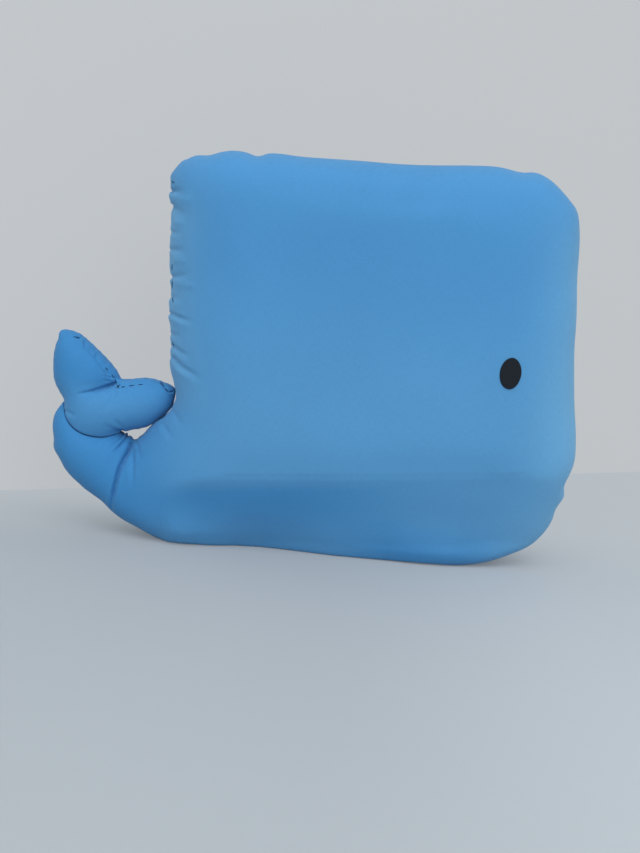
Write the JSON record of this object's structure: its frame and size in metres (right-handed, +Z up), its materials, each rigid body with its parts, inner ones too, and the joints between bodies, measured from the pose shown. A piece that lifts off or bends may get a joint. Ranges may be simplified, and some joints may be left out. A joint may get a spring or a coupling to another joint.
{
  "type": "plush whale",
  "caption": "Square stuffed cotton whale cushion standing on its belly, with a sprung swept-up tail and flukes and an oval felt eye on each face.",
  "frame": {"origin": "Centre of the bounding box at the height of the surface that the belly stands on", "axes": "+X points from the tail to the nose, +Z is up, and the pictured face looks toward -Y"},
  "size_m": [0.4144, 0.116, 0.309],
  "materials": {
    "blue_cotton": "matte",
    "stuffing": "matte",
    "dark_felt": "matte"
  },
  "bodies": {
    "torso": {"body_front_panel": "blue_cotton", "body_back_panel": "blue_cotton", "body_filling": "stuffing", "tail_root_front_panel": "blue_cotton", "tail_root_back_panel": "blue_cotton", "tail_root_filling": "stuffing", "front_eye": "dark_felt", "back_eye": "dark_felt"},
    "tail": {"tail_front_panel": "blue_cotton", "tail_back_panel": "blue_cotton", "tail_filling": "stuffing"},
    "flukes": {"left_fluke_front_panel": "blue_cotton", "left_fluke_back_panel": "blue_cotton", "left_fluke_filling": "stuffing", "right_fluke_front_panel": "blue_cotton", "right_fluke_back_panel": "blue_cotton", "right_fluke_filling": "stuffing"}
  },
  "joints": [
    {"name": "tail_bend", "type": "hinge", "parent": "torso", "child": "tail", "pos_m": [-0.15265, 0, 0.05208], "axis": [0.0636, 0, 0.998], "range_deg": [-20, 20], "stiffness_Nm_per_rad": 0.08},
    {"name": "fluke_bend", "type": "hinge", "parent": "tail", "child": "flukes", "pos_m": [-0.17379, 0, 0.09058], "axis": [-0.9338, 0, 0.3579], "range_deg": [-20, 20], "stiffness_Nm_per_rad": 0.05}
  ]
}
